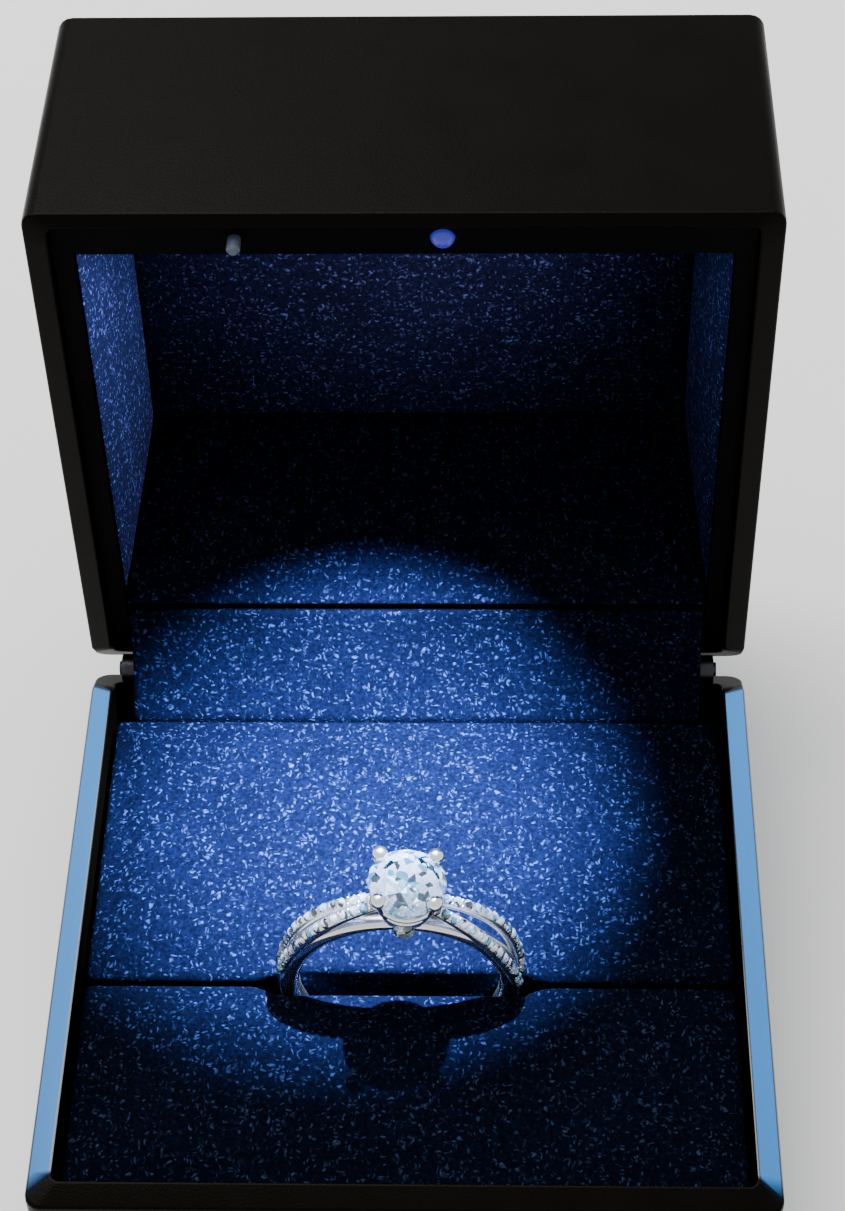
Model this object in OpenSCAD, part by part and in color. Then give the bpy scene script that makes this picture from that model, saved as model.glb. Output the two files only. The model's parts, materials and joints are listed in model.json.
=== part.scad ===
// Lighted ring box: a hinged two-shell case with a velvet ring cushion and a lamp in the lid.
// Origin: middle of the base's underside. +X right, +Y towards the hinge, +Z up. Millimetres.
// The lid's pieces are drawn shut, straight above the base, and lid_open() turns them to rest.

/* [Case] */
// Width across the front
case_w = 65; // [56:1:80]
// Depth from front face to hinge face
case_d = 60; // [52:1:74]
// Height of the base shell
base_h = 21; // [19:0.5:28]
// Height of the lid shell
lid_h = 29; // [27:0.5:38]
// Wall of both shells
wall = 2.2; // [1.8:0.1:3]
// Thinner front wall of the lid, which leaves room for the lamp
lid_front_wall = 1.3; // [1:0.1:2]
// Floor of the base shell
base_floor = 2; // [1.4:0.1:3]
// Top panel of the lid shell
lid_top = 2.2; // [1.6:0.1:3]
// Radius of the upright corners
corner_r = 1.4; // [0.6:0.1:3]

/* [Rim] */
// Gap between the two rims when shut
shut_gap = 0.2; // [0.1:0.05:0.5]
// How far each rim falls away from its inner to its outer edge
rim_drop = 0.8; // [0.3:0.1:1.2]
// Length of the sloping cut at the hinge end of each rim
rear_cut = 4.9; // [4:0.1:6.5]
// Depth of that cut at the hinge face
rear_drop = 3; // [2.8:0.1:4]

/* [Hinge] */
// How far the lid stands open at rest, in degrees from shut
open_angle = 91.5; // [80:0.5:100]
// Hinge pin's centre in from the hinge face
pin_inset = 1.7; // [1.6:0.05:2.2]
// Radius of the hinge pin
pin_r = 0.7; // [0.5:0.05:0.9]
// Radial play of the pin in the lid's knuckles
pin_play = 0.05; // [0.02:0.01:0.1]
// Outer radius of the knuckles
knuckle_r = 1.4; // [1.2:0.05:1.5]
// Sheet of the hinge leaves
leaf_t = 0.6; // [0.4:0.05:0.8]
// How far each leaf reaches from the pin
leaf_reach = 8; // [6:0.5:11]
// Radius of the rivets that hold the leaves
rivet_r = 0.8; // [0.6:0.05:1]

/* [Cushion] */
// Cushion's top below the rim
cushion_drop = 2; // [1:0.1:4]
// Gap between cushion and shell
cushion_gap = 0.5; // [0.3:0.1:1]
// Rear edge of the cushion, in from the hinge face
cushion_rear_in = 6.5; // [6.2:0.1:9]
// Slot's centre behind the front face
slot_from_front = 23.4; // [21:0.1:28]
// Width of the ring slot
slot_w = 2.6; // [2.5:0.1:3.2]
// Stiff card under the cushion
card_t = 1.2; // [0.8:0.1:2]

/* [Lining] */
// Face of the bezel below the lid's rim
bezel_in = 0.8; // [0.4:0.1:1.4]
// Thickness of the bezel
bezel_t = 1.4; // [1:0.1:2]
// Width of the bezel's side arms
bezel_side = 1.9; // [1.5:0.1:2.5]
// Width of the bezel's front bar
bezel_front = 3.2; // [3:0.1:4.5]
// Clearance round the bezel
fit_gap = 0.15; // [0.1:0.05:0.3]
// Thickness of the velvet-covered cards
lining_t = 1; // [0.8:0.1:1.4]
// Room above the ceiling card, which holds the battery
battery_room = 6.3; // [6.2:0.1:9]
// How far the side cards lean in at the ceiling
side_lean = 1.6; // [1:0.1:3]
// Foot of the rear card, in from the hinge face
rear_card_in = 10.6; // [10:0.1:13]
// How far the rear card leans in at the ceiling
rear_lean = 6.2; // [4:0.1:8]

/* [Lamp] */
// Lamp's place to the right of the middle
lamp_x = 3.4; // [-5:0.1:8]
// Radius of the lamp's body
lamp_r = 1.1; // [0.9:0.05:1.2]
// Switch's place to the left of the middle
switch_x = 14.4; // [10:0.1:20]
// Radius of the switch plunger
plunger_r = 0.6; // [0.5:0.05:0.7]
// Radial play of the plunger in the bezel
plunger_play = 0.06; // [0.03:0.01:0.1]
// Travel of the plunger
plunger_travel = 0.7; // [0.5:0.05:0.9]
// Diameter of a coin cell
cell_d = 7.9; // [6.8:0.1:9.5]
// Thickness of a coin cell
cell_t = 3.6; // [2.1:0.1:3.6]

/* [Ring] */
// Inside diameter of the ring
ring_id = 18.2; // [16:0.1:19]
// Radial thickness of the ring's shank
shank_t = 2; // [1.6:0.1:2.4]
// Width of the shank along the finger
shank_w = 2; // [1.6:0.1:2.2]
// Ring's centre above the cushion's top
ring_rise = 0.4; // [0:0.1:1.5]
// Ring's centre to the left of the middle
ring_x = 0.9; // [-1:0.1:2]
// How far the ring stands turned in its slot, in degrees
ring_turn = 4; // [0:0.5:6]
// Diameter of the centre stone
stone_d = 7; // [5:0.1:8]
// Girdle of the centre stone above the top of the shank
stone_rise = 4.3; // [3.6:0.1:5]
// Pave stones on each shoulder
pave_count = 7; // [4:1:9]

/* [Hidden] */
$fn = 48;

half_w = case_w / 2;
half_d = case_d / 2;
in_w = half_w - wall;                  // half of the clear width inside
in_rear = half_d - wall;               // inner face of both rear walls
lid_in_front = -half_d + lid_front_wall;
lid_z = base_h + shut_gap;             // plane of the lid's rim, shut
pin_y = half_d - pin_inset;
pin_z = base_h + shut_gap / 2;         // the pin lies midway between the rims

// Cushion
cushion_top = base_h - cushion_drop;
cushion_low = base_floor + card_t;
cushion_half = in_w - cushion_gap;
cushion_rear_y = half_d - cushion_rear_in;
slot_y = -half_d + slot_from_front;
front_pad_y = -half_d + wall + cushion_gap;
striker_w = 4;                         // rib inside the front wall that presses the switch
striker_t = 1.3;

// Hinge: the base has the outer knuckles, the lid the next pair, the spring the middle
hinge_half = in_w - 0.9;
base_knuckle = [20, hinge_half];
lid_knuckle = [9.2, 19.8];
spring_half = 9;
leaf_start = knuckle_r + 0.3;          // where the leaf's plate begins, from the pin
rivet_xs = [-24, -8, 8, 24];
rivet_grip = wall * 0.6;
spring_wire = knuckle_r - pin_r - 0.25;
spring_leg_y = in_rear - leaf_t - spring_wire / 2 - 0.05;     // just in front of the leaves
spring_front = spring_leg_y - spring_wire / 2;

// Lid lining, as drawn shut
card_z = lid_z + bezel_in + bezel_t + 0.1;      // lower edge of the wall cards
ceiling_z = lid_z + lid_h - lid_top - battery_room;
side_foot = in_w - bezel_side;
front_foot = lid_in_front + bezel_front;
front_lean = 2;
rear_foot = half_d - rear_card_in;
card_gap = 0.15;
card_top = ceiling_z + lining_t;
flap_gap = 0.4;                        // between the hinge flap and the rear card

// Lamp, switch and battery, as drawn shut
bar_mid = lid_in_front + bezel_front / 2;
board_z = card_z + 4.4;
board_t = 1;
switch_size = [5, 2.7];
holder_floor = 0.6;
holder_size = [2 * cell_d + 5, cell_d + 3];
holder_y = -14;
wire_x = holder_size[0] / 2 - 0.6;     // the wires meet the holder's tabs here
cells_z = card_top + 0.1 + holder_floor;
wire_r = 0.35;

// Ring
ring_r = ring_id / 2;
ring_z = cushion_top + ring_rise;
shoulder_lift = 1.1;
shoulder_r = ring_r + shank_t;
stone_r = stone_d / 2;
stone_z = ring_r + shank_t + stone_rise;
crown_h = stone_d * 0.155;
culet_r = 0.05;
pavilion_h = stone_d * 0.43;
girdle_h = stone_d * 0.03;
prong_r = 0.42;
prong_turn = 38;
shoulder_from = 8;                     // a shoulder's arc, in degrees up from the finger's level
shoulder_arc = 54;
pave_y = -0.45;                        // the front strand, which carries the pave stones
pave_from = 14;                        // first pave stone, in degrees from the head
pave_step = 5.8;
pave_d = 1.15;
accent_d = 1.6;

// Plan of a shell: a rectangle with round corners
module plan(w, d, r) {
    square([w - 2 * r, d], center = true);
    square([w, d - 2 * r], center = true);
    for (sx = [-1, 1], sy = [-1, 1])
        translate([sx * (w / 2 - r), sy * (d / 2 - r)]) circle(r);
}

// A profile in Y and Z, drawn as [y, z] points, run along X from x0 to x1
module along_x(x0, x1, points) {
    translate([x0, 0, 0]) rotate([90, 0, 90]) linear_extrude(x1 - x0) polygon(points);
}

// A profile in X and Z, drawn as [x, z] points, run along Y from y0 to y1
module along_y(y0, y1, points) {
    translate([0, y1, 0]) rotate([90, 0, 0]) linear_extrude(y1 - y0) polygon(points);
}

// What the rims lose: an outward slope on three sides and the long cut over the hinge.
// It is drawn for the base, with its rim at z = 0.
module rim_cuts() {
    far = half_w + 5;
    slope = rim_drop / wall;
    for (s = [-1, 1])
        along_y(-far, far, [[s * in_w, 0], [s * far, -(far - in_w) * slope],
            [s * far, 5], [s * in_w, 5]]);
    front = -half_d + wall;
    along_x(-far, far, [[front, 0], [front - far, -far * slope], [front - far, 5], [front, 5]]);
    back = half_d - rear_cut;
    along_x(-far, far, [[back, 0], [back + far, -far * rear_drop / rear_cut],
        [back + far, 5], [back, 5]]);
}

// Turns a piece drawn shut to the rest pose, with the lid standing open
module lid_open() {
    translate([0, pin_y, pin_z]) rotate([-open_angle, 0, 0]) translate([0, -pin_y, -pin_z])
        children();
}

// Room in the cushion for the rib that the lid's switch lands on
module striker_notch() {
    translate([-switch_x - striker_w / 2 - cushion_gap, -half_d, base_floor - 1])
        cube([striker_w + 2 * cushion_gap, wall + striker_t + cushion_gap, base_h]);
}

module rivet_holes(side) {
    for (x = rivet_xs)
        translate([x, in_rear - 5, pin_z + side * (leaf_reach - 2.6)])
            rotate([-90, 0, 0]) cylinder(r = rivet_r, h = 5 + rivet_grip);
}

module base_shell() {
    color([0.10, 0.09, 0.08]) difference() {
        linear_extrude(base_h) plan(case_w, case_d, corner_r);
        translate([0, 0, base_floor]) linear_extrude(base_h)
            plan(case_w - 2 * wall, case_d - 2 * wall, corner_r * 0.6);
        translate([0, 0, base_h]) rim_cuts();
        rivet_holes(-1);
    }
    color([0.10, 0.09, 0.08]) translate([-switch_x - striker_w / 2, -half_d + wall - 0.5, 1])
        cube([striker_w, striker_t + 0.5, base_h - 1]);
}

module cushion_card() {
    color([0.25, 0.24, 0.23]) difference() {
        translate([-cushion_half, front_pad_y, base_floor])
            cube([2 * cushion_half, cushion_rear_y - front_pad_y, card_t]);
        striker_notch();
    }
}

module cushion_pad(y0, y1) {
    color([0.03, 0.05, 0.16]) translate([-cushion_half, y0, cushion_low])
        cube([2 * cushion_half, y1 - y0, cushion_top - cushion_low]);
}

module cushion_rear() { cushion_pad(slot_y + slot_w / 2, cushion_rear_y); }

module cushion_front() {
    difference() {
        cushion_pad(front_pad_y, slot_y - slot_w / 2);
        striker_notch();
    }
}

// One hinge leaf: a plate on the rear wall, tabs, and a pair of knuckles round the pin.
// side is -1 for the base and +1 for the lid.
module hinge_leaf(side, span, bore_r) {
    color([0.70, 0.70, 0.72]) difference() {
        union() {
            z0 = min(side * leaf_start, side * leaf_reach);
            translate([-hinge_half, in_rear - leaf_t, pin_z + z0])
                cube([2 * hinge_half, leaf_t, leaf_reach - leaf_start]);
            for (s = [-1, 1]) {
                x0 = min(s * span[0], s * span[1]);
                translate([x0, pin_y, pin_z]) rotate([0, 90, 0])
                    cylinder(r = knuckle_r, h = span[1] - span[0]);
                translate([x0, in_rear - leaf_t, pin_z + min(side * pin_r * 1.3, side * leaf_start)])
                    cube([span[1] - span[0], leaf_t, leaf_start - pin_r * 1.3]);
            }
        }
        translate([-half_w, pin_y, pin_z]) rotate([0, 90, 0]) cylinder(r = bore_r, h = case_w);
        rivet_holes(side);
    }
}

module hinge_rivets(side) {
    color([0.62, 0.62, 0.64]) for (x = rivet_xs)
        translate([x, in_rear - leaf_t - 0.4, pin_z + side * (leaf_reach - 2.6)])
            rotate([-90, 0, 0]) {
                cylinder(r = rivet_r, h = leaf_t + 0.4 + rivet_grip);
                cylinder(r = rivet_r + 0.5, h = 0.4);
            }
}

module hinge_base_leaf() { hinge_leaf(-1, base_knuckle, pin_r); }

module hinge_base_rivets() { hinge_rivets(-1); }

module hinge_lid_leaf() { lid_open() hinge_leaf(1, lid_knuckle, pin_r + pin_play); }

module hinge_lid_rivets() { lid_open() hinge_rivets(1); }

module hinge_pin() {
    color([0.80, 0.80, 0.82]) translate([-hinge_half - 0.3, pin_y, pin_z]) rotate([0, 90, 0])
        cylinder(r = pin_r, h = 2 * hinge_half + 0.6);
}

// Snap spring: coils round the pin, with a leg down the base leaf and a leg on the lid leaf.
// The coils are drawn as rings on a thin sleeve.
module hinge_spring() {
    coil_r = knuckle_r - spring_wire / 2;
    pitch = spring_wire + 0.3;
    turns = floor((2 * spring_half - 2) / pitch);
    run = (turns - 1) * pitch;
    leg = leaf_start + 2;
    leg_off = pin_y - spring_leg_y;
    color([0.75, 0.76, 0.78]) translate([-run / 2, pin_y, pin_z]) union() {
        rotate([0, 90, 0]) rotate_extrude($fn = 32) {
            for (i = [0 : turns - 1]) translate([coil_r, i * pitch]) circle(spring_wire / 2, $fn = 16);
            translate([coil_r - spring_wire / 4, 0]) square([spring_wire / 2, run]);
        }
        translate([0, -leg_off, -leg]) cylinder(r = spring_wire / 2, h = leg, $fn = 16);
        translate([run, 0, leg_off]) rotate([-90, 0, 0])
            cylinder(r = spring_wire / 2, h = leg, $fn = 16);
    }
}

// Velvet strip from the cushion's rear edge to the foot of the lid's rear card.
// Its line is a quadratic curve between the two, hollow towards the front.
module hinge_flap() {
    thick = 0.8;
    steps = 8;
    foot = [cushion_rear_y + 0.3 + thick / 2, cushion_top - 0.4];
    dy = rear_foot + lining_t + flap_gap - pin_y;
    dz = lid_z + bezel_in - pin_z;
    head = [pin_y + dy * cos(open_angle) + dz * sin(open_angle),
        pin_z - dy * sin(open_angle) + dz * cos(open_angle)];
    bend = [min((foot[0] + head[0]) / 2 + 0.5, spring_front + 0.6), (foot[1] + head[1]) / 2 - 1];
    function at(t) = foot * pow(1 - t, 2) + bend * 2 * t * (1 - t) + head * pow(t, 2);
    front = [for (i = [0 : steps]) at(i / steps) - [thick / 2, 0]];
    back = [for (i = [steps : -1 : 0]) at(i / steps) + [thick / 2, 0]];
    tuck = cushion_top - 7;
    color([0.04, 0.06, 0.18]) along_x(-side_foot + 0.4, side_foot - 0.4,
        concat([[foot[0] - thick / 2, tuck]], front, back, [[foot[0] + thick / 2, tuck]]));
}

// Places a piece of the ring: +Z from the ring's centre to its stone, +Y along the finger
module ring_place() {
    translate([-ring_x, slot_y, ring_z]) rotate([0, ring_turn, 0]) children();
}

// One strand of a shoulder: an arc that rises above the shank towards the head
module shoulder(side, y, thick) {
    translate([0, y, shoulder_lift]) rotate([90, 0, 0])
        rotate([0, 0, side > 0 ? shoulder_from : 180 - shoulder_from - shoulder_arc])
            rotate_extrude(angle = shoulder_arc, $fn = 72)
            translate([shoulder_r, 0]) circle(thick, $fn = 24);
}

module ring_shank() {
    color([0.85, 0.86, 0.88]) ring_place() union() {
        rotate([90, 0, 0]) rotate_extrude($fn = 96) intersection() {
            translate([ring_r + shank_t / 2 - 0.35, 0]) circle(shank_w / 2 + 0.35);
            translate([ring_r, -shank_w / 2]) square([shank_t, shank_w]);
        }
        for (s = [-1, 1]) {
            shoulder(s, pave_y, 0.75);
            shoulder(s, 0.5, 0.6);
        }
    }
}

// Four prongs that spread from the top of the shank to the girdle, two rails and the tips
module ring_head() {
    foot_z = ring_r + shank_t - 0.6;
    foot_r = 1.3;
    top_z = stone_z + crown_h * 0.55;
    top_r = stone_r + prong_r * 0.45;
    rise = top_z - foot_z;
    lean = atan((top_r - foot_r) / rise);
    long = rise / cos(lean);
    color([0.86, 0.87, 0.89]) ring_place() union() {
        for (turn = [prong_turn, 180 - prong_turn, 180 + prong_turn, -prong_turn])
            rotate([0, 0, turn]) translate([foot_r, 0, foot_z]) rotate([0, lean, 0]) {
                cylinder(r = prong_r, h = long, $fn = 20);
                translate([0, 0, long]) sphere(r = prong_r * 1.25, $fn = 20);
            }
        for (part = [0.42, 0.72])
            translate([0, 0, foot_z + rise * part])
                rotate_extrude() translate([foot_r + (top_r - foot_r) * part, 0])
                    circle(0.32, $fn = 16);
        translate([0, 0, foot_z - 0.6]) cylinder(r1 = 1.2, r2 = 1.7, h = 1.3);
    }
}

// A round brilliant: table and crown above the girdle, pavilion below
module brilliant(d) {
    r = d / 2;
    k = d / stone_d;
    translate([0, 0, -pavilion_h * k]) cylinder(r1 = culet_r, r2 = r, h = pavilion_h * k);
    cylinder(r = r, h = girdle_h * k);
    translate([0, 0, girdle_h * k]) cylinder(r1 = r, r2 = r * 0.56, h = crown_h * k);
}

module centre_stone() {
    color([0.92, 0.97, 1.0, 0.6]) ring_place() translate([0, 0, stone_z]) brilliant(stone_d);
}

// Small stone set in the front of the gallery, below the head
module accent_stone() {
    color([0.92, 0.97, 1.0, 0.6]) ring_place()
        translate([0, -1.9, ring_r + shank_t - 0.2]) rotate([90, 0, 0]) brilliant(accent_d);
}

module pave_stones() {
    color([0.92, 0.97, 1.0, 0.6]) ring_place() translate([0, pave_y, shoulder_lift])
        for (s = [-1, 1], i = [0 : pave_count - 1])
            rotate([0, s * (90 - pave_from - i * pave_step), 0])
                translate([0, 0, shoulder_r + 0.72]) brilliant(pave_d);
}

module lid_shell() {
    shift = (wall - lid_front_wall) / 2;
    color([0.10, 0.09, 0.08]) lid_open() difference() {
        translate([0, 0, lid_z]) linear_extrude(lid_h) plan(case_w, case_d, corner_r);
        translate([0, -shift, lid_z - 1]) linear_extrude(lid_h - lid_top + 1)
            plan(case_w - 2 * wall, case_d - wall - lid_front_wall, corner_r * 0.6);
        translate([0, 0, lid_z]) mirror([0, 0, 1]) rim_cuts();
        rivet_holes(1);
    }
}

// U-shaped bezel: a front bar with the lamp and switch holes, and two side arms
module lid_bezel() {
    arm_end = half_d - rear_cut - 1;
    front = lid_in_front + fit_gap;
    inner_r = corner_r * 0.6;
    color([0.03, 0.03, 0.03]) lid_open() difference() {
        translate([0, 0, lid_z + bezel_in]) linear_extrude(bezel_t) difference() {
            translate([0, front + in_rear]) plan(2 * (in_w - fit_gap), 2 * in_rear, inner_r);
            translate([-side_foot, front_foot]) square([2 * side_foot, case_d]);
            translate([-in_w, arm_end]) square([2 * in_w, case_d]);
        }
        translate([lamp_x, bar_mid, lid_z]) cylinder(r = lamp_r + 0.05, h = 5);
        translate([-switch_x, bar_mid, lid_z])
            cylinder(r = plunger_r + plunger_play, h = 5);
    }
}

module lining_colour() { color([0.03, 0.05, 0.16]) lid_open() children(); }

module lining_ceiling() {
    x = side_foot - side_lean - card_gap;
    y0 = front_foot + front_lean + card_gap;
    y1 = rear_foot - rear_lean - card_gap;
    lining_colour() translate([-x, y0, ceiling_z]) cube([2 * x, y1 - y0, lining_t]);
}

// A card that fills the width between the two side cards; the points are its [y, z] profile
module cross_card(points) {
    foot_x = side_foot - card_gap;
    top_x = foot_x - side_lean;
    lining_colour() intersection() {
        along_x(-half_w, half_w, points);
        along_y(-half_d, half_d, [[-foot_x, lid_z], [foot_x, lid_z], [foot_x, card_z],
            [top_x, card_top], [-top_x, card_top], [-foot_x, card_z]]);
    }
}

module lining_rear() {
    foot_z = lid_z + bezel_in;
    cross_card([[rear_foot, foot_z], [rear_foot + lining_t, foot_z],
        [rear_foot + lining_t - rear_lean, card_top], [rear_foot - rear_lean, card_top]]);
}

// The front card is thin at its foot, where the lamp and the switch stand behind it
module lining_front() {
    cross_card([[front_foot, card_z], [front_foot - lining_t * 0.4, card_z],
        [front_foot - lining_t + front_lean, card_top], [front_foot + front_lean, card_top]]);
}

// Side card: its face runs from the bezel up and in to the ceiling; its ends follow the
// front and rear cards
module lining_side(side) {
    y0 = front_foot + card_gap - lining_t;
    y1 = rear_foot + lining_t - card_gap;
    lining_colour() intersection() {
        along_y(y0, y1, [for (p = [[side_foot, card_z], [side_foot + lining_t * 0.6, card_z],
            [side_foot + lining_t - side_lean, card_top], [side_foot - side_lean, card_top]])
            [side * p[0], p[1]]]);
        along_x(-half_w, half_w, [[y0, card_z], [y1, card_z],
            [y1 - rear_lean, card_top], [y0 + front_lean, card_top]]);
    }
}

module lining_left() { lining_side(-1); }

module lining_right() { lining_side(1); }

// Lamp: a round lamp with a domed end, standing on the board and facing out of the bezel
module lamp() {
    dome_z = lid_z + bezel_in + 0.5;
    color([0.75, 0.85, 1.0]) lid_open() translate([lamp_x, bar_mid, 0]) {
        translate([0, 0, dome_z]) cylinder(r = lamp_r, h = board_z - dome_z);
        intersection() {
            translate([0, 0, dome_z]) sphere(r = lamp_r);
            translate([0, 0, dome_z - lamp_r]) cylinder(r = lamp_r + 1, h = lamp_r);
        }
    }
}

module lamp_board() {
    y0 = lid_in_front + fit_gap;
    color([0.08, 0.30, 0.16]) lid_open()
        translate([-switch_x - 6, y0, board_z])
            cube([switch_x + 6 + wire_x + 2, bezel_front - lining_t, board_t]);
}

module switch_body() {
    z0 = lid_z + bezel_in + bezel_t;
    color([0.05, 0.05, 0.05]) lid_open() difference() {
        translate([-switch_x - switch_size[0] / 2, bar_mid - switch_size[1] / 2 + 0.05, z0])
            cube([switch_size[0], switch_size[1] - 0.6, board_z - z0]);
        translate([-switch_x, bar_mid, z0 - 1]) cylinder(r = plunger_r + 0.3, h = 4.7);
    }
}

module switch_plunger() {
    z0 = lid_z + bezel_in + bezel_t;
    tip = base_h + 0.05 - plunger_travel;          // shut, it is pressed in to the striker
    color([0.90, 0.90, 0.88]) lid_open() translate([-switch_x, bar_mid, 0]) {
        translate([0, 0, tip + 0.3]) cylinder(r = plunger_r, h = z0 + 0.7 - tip - 0.3);
        translate([0, 0, tip]) cylinder(r1 = plunger_r - 0.25, r2 = plunger_r, h = 0.3);
        translate([0, 0, z0 + 0.1]) cylinder(r = plunger_r + 0.24, h = 0.6);
    }
}

module switch_spring() {
    z0 = lid_z + bezel_in + bezel_t + 0.75;
    run = 2.6;
    turns = 5;
    wire = 0.14;
    color([0.80, 0.80, 0.82]) lid_open() translate([-switch_x, bar_mid, z0 + wire])
        rotate_extrude($fn = 32) {
            for (i = [0 : turns - 1])
                translate([plunger_r, i * run / (turns - 1)]) circle(wire, $fn = 16);
            translate([plunger_r - wire / 2, 0]) square([wire, run]);
        }
}

// Tray for two coin cells, above the ceiling card
module battery_holder() {
    z0 = card_top + 0.1;
    color([0.06, 0.06, 0.06]) lid_open() difference() {
        translate([-holder_size[0] / 2, holder_y - holder_size[1] / 2, z0])
            cube([holder_size[0], holder_size[1], holder_floor + cell_t - 0.6]);
        for (s = [-1, 1]) translate([s * (cell_d / 2 + 0.75), holder_y, z0 + holder_floor])
            cylinder(r = cell_d / 2 + 0.1, h = cell_t + 1);
    }
}

module coin_cells() {
    color([0.78, 0.78, 0.76]) lid_open() for (s = [-1, 1])
        translate([s * (cell_d / 2 + 0.75), holder_y, cells_z]) {
            cylinder(r = cell_d / 2 - 0.35, h = cell_t);
            translate([0, 0, 0.5]) cylinder(r = cell_d / 2, h = cell_t - 0.5);
        }
}

// One strip joins the two cells; a tab at each end of the holder takes a wire
module battery_contacts() {
    strip_t = 0.25;
    color([0.80, 0.66, 0.30]) lid_open() {
        translate([-cell_d * 0.8, holder_y - 1.5, cells_z + cell_t]) cube([cell_d * 1.6, 3, strip_t]);
        for (s = [-1, 1])
            translate([s * wire_x - 0.6, holder_y - holder_size[1] / 2 - strip_t, cells_z - 0.4])
                cube([1.2, strip_t, 2.4]);
    }
}

// Two insulated wires from the board, up behind the front card and over to the holder's tabs
module lamp_wires() {
    up_y = lid_in_front + fit_gap + 0.6;
    top = cells_z + 0.9;
    color([0.55, 0.08, 0.07]) lid_open() for (s = [-1, 1]) {
        x = s * wire_x;
        low = board_z + board_t;
        translate([x, up_y, low]) cylinder(r = wire_r, h = top - low, $fn = 20);
        translate([x, up_y, top]) sphere(r = wire_r, $fn = 20);
        translate([x, up_y, top]) rotate([-90, 0, 0])
            cylinder(r = wire_r, h = holder_y - holder_size[1] / 2 - 0.25 - up_y, $fn = 20);
    }
}

base_shell();
cushion_card();
cushion_rear();
cushion_front();
hinge_base_leaf();
hinge_base_rivets();
hinge_pin();
hinge_spring();
hinge_flap();
ring_shank();
ring_head();
centre_stone();
accent_stone();
pave_stones();
lid_shell();
lid_bezel();
lining_ceiling();
lining_rear();
lining_front();
lining_left();
lining_right();
hinge_lid_leaf();
hinge_lid_rivets();
lamp();
lamp_board();
switch_body();
switch_plunger();
switch_spring();
battery_holder();
coin_cells();
battery_contacts();
lamp_wires();
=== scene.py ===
# %% [markdown]
# # A lighted ring box
# A small hinged case stands open. Its base holds two velvet pads with a ring pressed between
# them, and its lid is lined with velvet and has a lamp in its front edge. The measured parts
# come from the frame, and every visible surface is built or finished here around them.

# %% Load the frame and keep its size
import json
import math

import bmesh
import bpy
import numpy as np
from mathutils import Matrix, Vector


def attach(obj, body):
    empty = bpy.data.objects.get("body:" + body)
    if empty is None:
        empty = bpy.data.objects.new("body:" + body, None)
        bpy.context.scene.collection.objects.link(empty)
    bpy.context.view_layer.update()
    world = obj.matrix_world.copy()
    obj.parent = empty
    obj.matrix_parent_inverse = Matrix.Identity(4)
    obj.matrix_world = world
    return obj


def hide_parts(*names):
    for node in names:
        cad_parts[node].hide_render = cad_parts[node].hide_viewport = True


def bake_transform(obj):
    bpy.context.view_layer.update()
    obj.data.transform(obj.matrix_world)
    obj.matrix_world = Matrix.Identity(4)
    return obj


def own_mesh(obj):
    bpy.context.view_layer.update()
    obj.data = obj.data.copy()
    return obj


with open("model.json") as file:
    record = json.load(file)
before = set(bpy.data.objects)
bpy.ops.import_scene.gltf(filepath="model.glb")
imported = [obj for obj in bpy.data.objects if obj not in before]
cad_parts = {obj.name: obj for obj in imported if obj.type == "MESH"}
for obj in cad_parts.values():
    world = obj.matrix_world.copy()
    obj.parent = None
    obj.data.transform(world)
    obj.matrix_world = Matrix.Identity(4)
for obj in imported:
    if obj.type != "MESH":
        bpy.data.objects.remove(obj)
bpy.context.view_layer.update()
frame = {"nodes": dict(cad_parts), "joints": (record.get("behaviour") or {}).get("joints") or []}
nodes = frame["nodes"]
MM = 0.001
print("frame pieces:", len(nodes))

# %% [markdown]
# The lid's pieces are easier to shape while the box is shut, straight above the base. The hinge
# joint in the record says where the pin is and how far the lid turns, so the same turn takes a
# shut shape to where the lid stands open. Measuring a lid part goes the other way.

# %% Sizes read from the frame
hinge = next(j for j in frame["joints"] if j["name"] == "lid_hinge")
pin_y, pin_z = hinge["pos_m"][1], hinge["pos_m"][2]
open_turn = math.radians(hinge["range_deg"][1])


def turned(points, angle):
    """Points turned about the hinge pin by an angle that opens the lid: y and z, measured from
    the pin, become y cos + z sin and z cos - y sin."""
    p = np.array(points, float)
    y, z = p[..., 1] - pin_y, p[..., 2] - pin_z
    p[..., 1] = pin_y + y * math.cos(angle) + z * math.sin(angle)
    p[..., 2] = pin_z + z * math.cos(angle) - y * math.sin(angle)
    return p


def read_points(mesh, what="co"):
    """A mesh's points, or with what="normal" the directions its surface faces there."""
    values = np.empty(len(mesh.vertices) * 3, np.float32)
    mesh.vertices.foreach_get(what, values)
    return values.reshape(-1, 3).astype(float)


def corners(node, shut=False):
    """Lowest and highest corner of a frame part; shut turns a lid part back to the shut box."""
    points = read_points(nodes[node].data)
    if shut:
        points = turned(points, -open_turn)
    return points.min(0), points.max(0)


half_w, half_d, base_h = corners("base_shell")[1]
lid_lo, lid_hi = corners("lid_shell", shut=True)
lid_top = lid_hi[2]
rear_lo, rear_hi = corners("cushion_rear")
front_lo, front_hi = corners("cushion_front")
cushion_top = rear_hi[2]
slot_y = (rear_lo[1] + front_hi[1]) / 2
cushion_gap = 0.5 * MM
wall = half_w - rear_hi[0] - cushion_gap
print("case", [round(float(v) * 1000, 2) for v in (half_w, half_d, base_h, lid_top, wall, slot_y)])

# %% [markdown]
# Most new pieces are grids of points worked out at once, so one helper turns grids into meshes.
# A grid can close on itself in one or both directions, and its open ends can be capped.


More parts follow.
